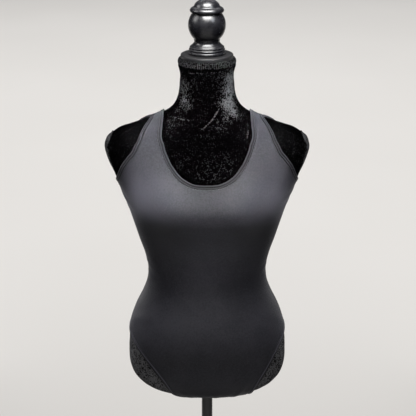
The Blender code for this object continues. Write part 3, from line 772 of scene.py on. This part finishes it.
def chamfered(radius, thickness, edge, steps=4):
    """(radius, height) rows in mm of a disc whose rims are rounded."""
    angles = np.radians(np.linspace(0, 90, steps + 1))
    lower = [(radius - edge + edge * math.sin(a), edge - edge * math.cos(a)) for a in angles]
    upper = [(radius - edge + edge * math.cos(a), thickness - edge + edge * math.sin(a)) for a in angles]
    return lower + upper


def finial_rows():
    """The finial's profile in mm from the neck cap up, each turned member smooth and the corners crisp."""
    base = smoothed("33.2 0, 34.5 0.9, 34.8 2.8, 34.3 4.6, 32.6 5.8", 4)
    ring = smoothed("32 6.3, 33.1 7.2, 33.3 8.6, 32.6 9.8, 31.2 10.5", 4)
    bead = smoothed("30.7 11, 31.8 11.8, 31.8 13, 30.6 14", 4)
    cove = smoothed("29.9 14.5, 28.6 15.7, 26.2 17.9, 24.3 20.3, 23.5 22.6, 24 25", 5)
    groove = numbers("24.1 26.4, 23.9 27.6, 24.3 28.3")
    angles = np.radians(np.linspace(-44.0, 40.0, 30))
    ball = np.column_stack([BALL_RADIUS * np.cos(angles), BALL_HEIGHT + BALL_RADIUS * np.sin(angles)]) / MM
    cap = smoothed("26.3 75.6, 29.8 76.4, 31.2 78.4, 31.1 80.6, 29.8 83, 27.2 85, 24.6 86.4", 4)
    dome = smoothed("23.8 87, 22.3 90.7, 17.8 95.4, 11 99.4, 4 101.2, 0.6 101.4", 5)
    return np.concatenate([base, ring, bead, cove, groove, ball, cap, dome])


# Materials


class Shading:
    """A material and its nodes."""

    def __init__(self, name, colour, roughness, **sockets):
        self.material = bpy.data.materials.new(name)
        self.material.use_nodes = True
        self.tree = self.material.node_tree
        self.feed(Base_Color=(*colour, 1.0), Roughness=roughness, **sockets)

    def add(self, kind, inputs=(), **settings):
        """A node with its settings made and its inputs linked or set."""
        node = self.tree.nodes.new("ShaderNode" + kind)
        for key, value in settings.items():
            setattr(node, key, value)
        for key, value in dict(inputs).items():
            self.put(value, node.inputs[key])
        return node

    def put(self, value, socket):
        if isinstance(value, bpy.types.NodeSocket):
            self.tree.links.new(value, socket)
        else:
            socket.default_value = value

    def feed(self, **values):
        """Sets the shader's sockets of those names to values, or links them to outputs."""
        shader = self.tree.nodes["Principled BSDF"]
        for socket, value in values.items():
            self.put(value, shader.inputs[socket.replace("_", " ")])

    def where(self, kind):
        return self.add("TexCoord").outputs[kind]

    def split(self, vector):
        return self.add("SeparateXYZ", {0: vector}).outputs

    def math(self, operation, first, second=0.0, third=0.0):
        return self.add("Math", {0: first, 1: second, 2: third}, operation=operation).outputs[0]

    def noise(self, place, scale, detail=2.0, roughness=0.5):
        inputs = {"Vector": place, "Scale": scale, "Detail": detail, "Roughness": roughness}
        return self.add("TexNoise", inputs).outputs["Fac"]

    def ranged(self, value, low, high, to_low=0.0, to_high=1.0, kind="SMOOTHSTEP"):
        inputs = {"Value": value, "From Min": low, "From Max": high, "To Min": to_low, "To Max": to_high}
        return self.add("MapRange", inputs, interpolation_type=kind).outputs[0]

    def mixed(self, share, *colours):
        node = self.add("Mix", {"Factor": share}, data_type="RGBA")
        for socket, value in zip(node.inputs[6:8], colours):
            self.put((*value, 1.0) if isinstance(value, tuple) else value, socket)
        return node.outputs[2]

    def bump(self, height, distance, strength=1.0, normal=None):
        inputs = {"Height": height, "Distance": distance, "Strength": strength}
        if normal is not None:
            inputs["Normal"] = normal
        return self.add("Bump", inputs).outputs[0]


def toned(colour, tone):
    return tuple(tone * c for c in colour)


# How wide the knit's columns of loops are, and how high its rows, in metres
WALE = 0.00085
COURSE = 0.00110

# Lines painted along a binding, dark ones a painted shade in the stitched grooves and at the hem's edge,
# light ones a painted highlight on the fold and its ridges: how far in from the edge and how far each reaches
# in mm, its strength and its tone
EDGE_SHADE_AND_HIGHLIGHT_LINES = numbers("1.2 1.4 0.55 2.3, 3.7 2.3 1 0.01, 5.6 1.1 0.65 2.2, 7.6 2.4 1 0.01")
HEM_SHADE_AND_HIGHLIGHT_LINES = numbers("0 4.2 1 0.01, 5.6 1.8 1 4, 7.8 1.6 0.6 2.2")


def knit_material(name, colour, light, roughness, painted_lines=np.empty((0, 4))):
    """Fine satin-faced knit: wales along the cut, rows of loops across, and lines of painted shade and
    painted highlight along a binding's stitched rows and edges.
    """
    sheen = {"Sheen_Weight": 0.05, "Sheen_Roughness": 0.45, "Sheen_Tint": (0.80, 0.81, 0.92, 1.0)}
    knit = Shading(name, colour, roughness, Specular_IOR_Level=0.12, Diffuse_Roughness=0.6, **sheen)
    here = knit.where("Object")
    inward, along, _ = knit.split(knit.where("UV"))
    wale = knit.math("ABSOLUTE", knit.math("SINE", knit.math("MULTIPLY", inward, 2 * math.pi / WALE)))
    stagger = knit.math("MULTIPLY", wale, 1.6)
    row = knit.math("SINE", knit.math("ADD", knit.math("MULTIPLY", along, 2 * math.pi / COURSE), stagger))
    loops = knit.math("MULTIPLY_ADD", wale, 0.7, knit.math("MULTIPLY", row, 0.3))
    grain = knit.noise(here, 330.0, 3.0, 0.75)
    cloudy = knit.noise(here, 14.0, 3.0, 0.55)
    tone = knit.math("MULTIPLY_ADD", grain, 0.65, knit.math("MULTIPLY", cloudy, 0.35))
    shade = knit.mixed(knit.ranged(tone, 0.38, 0.62), colour, light)
    # Each line paints shade or a highlight into the colour: a tone under 1 is painted shade, over 1 a painted
    # highlight
    for middle, reach, share, tone in painted_lines.tolist():
        away = knit.math("ABSOLUTE", knit.math("SUBTRACT", inward, middle * MM))
        strength = knit.ranged(away, 0.0, reach * MM, share, 0.0)
        shade = knit.mixed(strength, shade, toned(colour, tone))
    rough = knit.ranged(grain, 0.3, 0.7, roughness - 0.06, roughness + 0.06)
    normal = knit.bump(grain, 0.00010, 0.5, knit.bump(loops, 0.00006, 0.7))
    knit.feed(Base_Color=shade, Roughness=rough, Normal=normal)
    return knit.material


def velvet_material(name, colour, light):
    """Crushed velvet: flecks of pile painted lighter, a painted sheen where the pile catches the light, more
    and brighter where the lightness attribute is high (brushed-up nap, painted sheen, the arm caps) and few
    where it is low, in the painted shadow beside the cloth.
    """
    sheen = {"Sheen_Weight": 0.004, "Sheen_Roughness": 0.30, "Sheen_Tint": (0.72, 0.72, 0.76, 1.0)}
    nodes = Shading(name, colour, 0.9, Specular_IOR_Level=0.0, **sheen)
    here = nodes.where("Object")
    across, _, height = nodes.split(here)
    below = nodes.math("MAXIMUM", nodes.math("SUBTRACT", CAP_HEIGHT, height), 0.0)
    above = nodes.math("MAXIMUM", nodes.math("SUBTRACT", height, CAP_HEIGHT), 0.0)
    reach = nodes.math("MULTIPLY_ADD", below, CAP_FALL, nodes.math("ABSOLUTE", across))
    reach = nodes.math("MULTIPLY_ADD", above, CAP_RISE, reach)
    # The arm caps are painted lighter, partly their own cover beyond the seam and partly a painted sheen
    # where they curve away at the rim
    cap = nodes.ranged(reach, CAP_EDGE, CAP_EDGE + 0.0015, 0.0, 1.50)
    # The lightness attribute: brushed-up nap, painted sheen, and the painted shadow beside the cloth
    nap_and_painted_light = nodes.math("MAXIMUM", nodes.add("Attribute", attribute_name="nap_and_painted_light").outputs["Fac"], cap)
    # The lighter flecks are a painted sheen: crushed pile catching the light, painted into the colour
    flecks = nodes.noise(here, 430.0, 1.0, 0.50)
    crush = nodes.noise(here, 150.0, 4.0, 0.65)
    drift = nodes.noise(here, 30.0, 3.0, 0.6)
    pile = nodes.math("MULTIPLY_ADD", flecks, 0.55, nodes.math("MULTIPLY", crush, 0.29))
    pile = nodes.math("MULTIPLY_ADD", drift, 0.16, pile)
    bare = nodes.math("MULTIPLY_ADD", nodes.math("MINIMUM", nap_and_painted_light, 0.8), -0.15, 0.560)
    shown = nodes.ranged(pile, bare, nodes.math("ADD", bare, 0.060), kind="LINEAR")
    strength = nodes.math("MULTIPLY", shown, nodes.math("MULTIPLY_ADD", nap_and_painted_light, 0.55, 0.05))
    normal = nodes.bump(flecks, 0.0008, 0.5, nodes.bump(crush, 0.0018, 0.6))
    nodes.feed(Base_Color=nodes.mixed(strength, colour, light), Normal=normal)
    return nodes.material


def lacquer_material(name, colour, roughness, gloss, coat):
    """Black lacquer over turned wood, slightly uneven, with a few duller places."""
    coats = {"Coat_Weight": coat, "Coat_Roughness": 0.34}
    wood = Shading(name, colour, roughness, Specular_IOR_Level=gloss, **coats)
    here = wood.where("Object")
    stretched = wood.add("Mapping", {"Vector": here, "Scale": (1.0, 1.0, 9.0)}).outputs[0]
    rings = wood.noise(stretched, 40.0, 2.0, 0.5)
    spots = wood.noise(here, 90.0, 3.0, 0.6)
    wood.feed(
        Base_Color=wood.mixed(wood.ranged(rings, 0.3, 0.7), colour, toned(colour, 1.4)),
        Roughness=wood.ranged(spots, 0.3, 0.75, roughness - 0.05, roughness + 0.08),
        Normal=wood.bump(spots, 0.00010, 0.4, wood.bump(rings, 0.00006, 0.4)),
    )
    return wood.material


def enamel_material(name, colour, roughness):
    """Satin enamel on steel, with a slight orange peel and rubbed places."""
    steel = Shading(name, colour, roughness, Metallic=0.3)
    here = steel.where("Object")
    peel = steel.noise(here, 420.0, 2.0, 0.5)
    rubbed = steel.noise(here, 22.0, 5.0, 0.7)
    steel.feed(
        Base_Color=steel.mixed(steel.ranged(rubbed, 0.5, 0.8), colour, toned(colour, 1.8)),
        Roughness=steel.ranged(rubbed, 0.35, 0.75, roughness - 0.08, roughness + 0.14),
        Normal=steel.bump(peel, 0.00005, 0.5),
    )
    return steel.material


# The picture

# Narrow strips of light from the front: how far aside, the height where each crosses the pole's axis,
# how steep, its size, its power and its spread. The chest's are one strip cut narrower towards the waist.
STRIP_DISTANCE = 1.70
FRONT_STRIPS = {
    "chest_strip": (0, 1.0167, 24, 0.295, 0.2573, 0.495, 1.8),
    "bust_strip": (0, 0.8637, 24, 0.19, 0.0222, 0.027, 1.8),
    "bust_strip_left": (0.088, 0.9, 24, 0.09, 0.06, 0.046, 2.2),
    "bust_strip_right": (-0.088, 0.9, 24, 0.09, 0.06, 0.045, 2.2),
    "side_strip_left": (0.1, 1.017, 24, 0.09, 0.22, 0.058, 2.6),
    "side_strip_right": (-0.1, 1.017, 24, 0.09, 0.22, 0.046, 2.6),
    "shoulder_strip_left": (0.1, 0.962, 60, 0.11, 0.06, 0.056, 3),
    "shoulder_strip_right": (-0.1, 0.962, 60, 0.11, 0.06, 0.062, 3),
    "belly_strip": (0, 0.642, 24, 1.2, 0.03, 0.17, 5),
    "middle_strip": (0, 0.79, 24, 0.08, 0.13, 0.019, 5),
}


def add_light(name, place, target, size, energy, lit, spread=180.0, colour=(1.0, 0.99, 0.98)):
    """A soft panel at a place, turned to a target and falling on one collection only. Sizes in metres."""
    light = bpy.data.lights.new(name, "AREA")
    light.shape = "RECTANGLE"
    light.size, light.size_y = size
    light.energy = energy
    light.color = colour
    light.spread = math.radians(spread)
    lamp = bpy.data.objects.new(name, light)
    lamp.location = place
    away = np.subtract(place, target)
    level = math.hypot(away[0], away[1])
    lamp.rotation_euler = (math.atan2(level, away[2]), 0.0, math.atan2(away[0], -away[1]))
    lamp.light_linking.receiver_collection = lit
    place_in_scene(lamp)
    return lamp


def add_plane(name, corners, material, seen=True):
    """A flat piece of the stage."""
    plane = bare_object(name, corners, [(0, 1, 2, 3)], material)
    plane.visible_camera = seen
    return plane


def add_flags():
    """Black cards beside the form, out of the picture, that keep the floor's light off its flanks."""
    black = Shading("flag_black", (0.002, 0.002, 0.002), 1.0, Specular_IOR_Level=0.0).material
    near, far, low, top = -1.0, 0.9, 0.001, 1.9
    for x in (-0.75, 0.75):
        add_plane("flag", [(x, near, low), (x, far, low), (x, far, top), (x, near, top)], black, seen=False)


def add_stage():
    paper = Shading("studio_floor", (0.74, 0.725, 0.705), 0.9, Specular_IOR_Level=0.1)
    soft = paper.ranged(paper.noise(paper.where("Object"), 0.6, 2.0), 0.3, 0.7)
    paper.feed(Base_Color=paper.mixed(soft, (0.75, 0.735, 0.712), (0.77, 0.755, 0.733)))
    reach = 16.0
    corners = [(-reach, -reach, 0), (reach, -reach, 0), (reach, reach, 0), (-reach, reach, 0)]
    STAGE.objects.link(add_plane("studio_floor", corners, paper.material))
    world = bpy.data.worlds.new("studio")
    world.use_nodes = True
    sky = world.node_tree.nodes["Background"]
    sky.inputs["Color"].default_value = (0.95, 0.97, 1.0, 1.0)
    sky.inputs["Strength"].default_value = 0.10
    bpy.context.scene.world = world
    bpy.context.scene.view_settings.view_transform = "Standard"
    add_flags()
    for name, (aside, height, degrees, wide, high, energy, spread) in FRONT_STRIPS.items():
        level = STRIP_DISTANCE * (1.0 if degrees < 45.0 else 0.5)
        place = (aside, -level, height + level * math.tan(math.radians(degrees)))
        add_light(name, place, (aside, 0.0, height), (wide, high), energy, DRESSED, spread)
    add_light("key_above", (0.05, -1.05, 2.45), (0, -0.10, 0.85), (1, 0.5), 20, DRESSED)
    add_light("rim_left", (-0.62, 0.40, 0.95), (-0.12, 0, 0.72), (0.10, 0.45), 0.6, DRESSED, 60)
    add_light("rim_right", (0.62, 0.40, 0.95), (0.12, 0, 0.72), (0.10, 0.45), 0.35, DRESSED, 60)
    add_light("rim_above", (0, 1, 2.3), (0, 0, 1.05), (1.4, 0.5), 3, DRESSED)
    ball, small = (0, 0, 1.22), (0.34, 0.34)
    add_light("finial_top", (0.03, -0.30, 1.95), ball, (0.68, 0.55), 40, GLOSSY)
    add_light("finial_left", (-0.65, -0.04, 1.60), ball, small, 2.2, GLOSSY)
    add_light("finial_right", (0.64, -0.64, 1.86), ball, small, 4.5, GLOSSY, colour=(0.86, 0.92, 1))
    backdrop = add_light("floor_back", (0, 3.1, 6), (0, 3.1, 0), (13, 12), 825, STAGE)
    backdrop.light_linking.blocker_collection = DRESSED


def add_camera():
    """The photograph's view: 2 m in front, looking 20.3 degrees down at the chest."""
    camera = bpy.data.cameras.new("camera")
    camera.sensor_width = 36.0
    camera.lens = 36.0 * 1100.0 / 416.0
    viewer = bpy.data.objects.new("camera", camera)
    viewer.location = (0.0019, -2.0, 1.623)
    viewer.rotation_euler = (math.radians(90.0 - 20.3), 0.0, 0.0)
    place_in_scene(viewer)
    bpy.context.scene.camera = viewer


def add_leotard():
    knit = knit_material("charcoal_knit_fine", (0.0190, 0.0189, 0.0232), (0.0305, 0.0303, 0.0368), 0.52)
    edge_colours = (0.0200, 0.0198, 0.0240), (0.0270, 0.0268, 0.0320)
    edging = knit_material("charcoal_binding_fine", *edge_colours, 0.50, EDGE_SHADE_AND_HIGHLIGHT_LINES)
    hemming = knit_material("charcoal_hem_fine", *edge_colours, 0.50, HEM_SHADE_AND_HIGHLIGHT_LINES)
    thread = Shading("stitching_thread", (0.004, 0.004, 0.005), 0.6, Specular_IOR_Level=0.2).material
    front = add_panel("leotard_front", False, FRONT_CREASES, knit, 3)
    back = add_panel("leotard_back", True, REAR_CREASES, knit, 9)
    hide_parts("front_panel")
    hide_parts("back_panel")
    bound = SECTION_OF_BAND, edging, ((3.7, 1.35), (7.45, 1.25))
    hemmed = SECTION_OF_HEM, hemming, ((7.3, 1.25),)
    bands = (
        ("neck_band", "neck_binding", bound, 0.835),
        ("arm_band_left", "arm_binding_left", bound, 0.435),
        ("arm_band_right", "arm_binding_right", bound, 0.435),
        ("leg_band_left", "leg_binding_left", hemmed, 0.486),
        ("leg_band_right", "leg_binding_right", hemmed, 0.643),
    )
    for seed, (loop, (name, node, (section, cloth, rows), length)) in enumerate(zip(band_loops(), bands), 40):
        band = add_band(name, loop, section, cloth, seed)
        threads = add_stitches(name + "_stitches", loop, rows, 0.0030, 0.00026, thread)
        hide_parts(node)


def add_dress_form():
    # The second colour is that of the painted sheen on the pile's lighter flecks
    velvet = velvet_material("crushed_velvet", PILE, (0.140, 0.140, 0.148))
    gathered = velvet_material("gathered_velvet", PILE, (0.070, 0.070, 0.074))
    lacquer = lacquer_material("black_lacquer", (0.0035, 0.0035, 0.0045), 0.27, 0.40, 0.20)
    satin = lacquer_material("black_lacquer_satin", (0.0040, 0.0040, 0.0045), 0.48, 0.22, 0.0)
    form = add_form(velvet)
    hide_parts("form_torso")
    seams = ("arm_cap_seam_left", 1), ("arm_cap_seam_right", -1)
    pieces = [form] + [add_cap_seam(name, side, velvet) for name, side in seams]
    angles = np.radians(np.linspace(-80, 80, 14))
    roll = [(48.8 + 4.6 * math.cos(a), 6.8 * math.sin(a)) for a in angles]
    pieces.append(add_turned("neck_roll", roll, 1.1732, gathered, 576, 96, 0.00080, nap_and_painted_light=1.40))
    for piece in (
        turned_for("neck_plate", "neck_cap", CAP_ROWS, satin),
        turned_for("finial", "turned_finial", finial_rows(), lacquer),
    ):
        GLOSSY.objects.link(piece)


def add_stand():
    enamel = enamel_material("black_enamel", (0.028, 0.028, 0.030), 0.36)
    top, pole, socket = height_of("foot_collar"), height_of("pole"), height_of("pole_socket")
    sleeve = [(11.4, 0), (23, 0), (23, 12.6), (22.4, 14.4), (21.6, 15.6), (20.4, top - 3)]
    sleeve += [(19.4, top - 1.2), (17.6, top - 0.2), (11.4, top)]
    entry = [(11.4, 0), (13, 0), (13.7, 0.3), (14, 1), (14, socket)]
    for piece in (
        turned_for("foot_disc", "foot_plate", chamfered(180, 7, 2), enamel, 192),
        turned_for("foot_collar", "foot_sleeve", sleeve, enamel),
        turned_for("pole", "pole_tube", [(11, 0), (11, pole / 2), (11, pole)], enamel, 96),
        turned_for("pole_socket", "pole_sleeve", entry, enamel, 96),
    ):
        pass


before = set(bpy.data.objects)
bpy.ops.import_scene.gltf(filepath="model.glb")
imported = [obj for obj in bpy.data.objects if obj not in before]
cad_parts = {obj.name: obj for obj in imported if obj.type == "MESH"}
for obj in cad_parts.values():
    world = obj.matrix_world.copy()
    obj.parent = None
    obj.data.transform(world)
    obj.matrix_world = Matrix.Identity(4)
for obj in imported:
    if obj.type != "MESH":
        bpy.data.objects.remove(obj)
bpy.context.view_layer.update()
add_camera()
add_stage()
add_leotard()
add_dress_form()
add_stand()
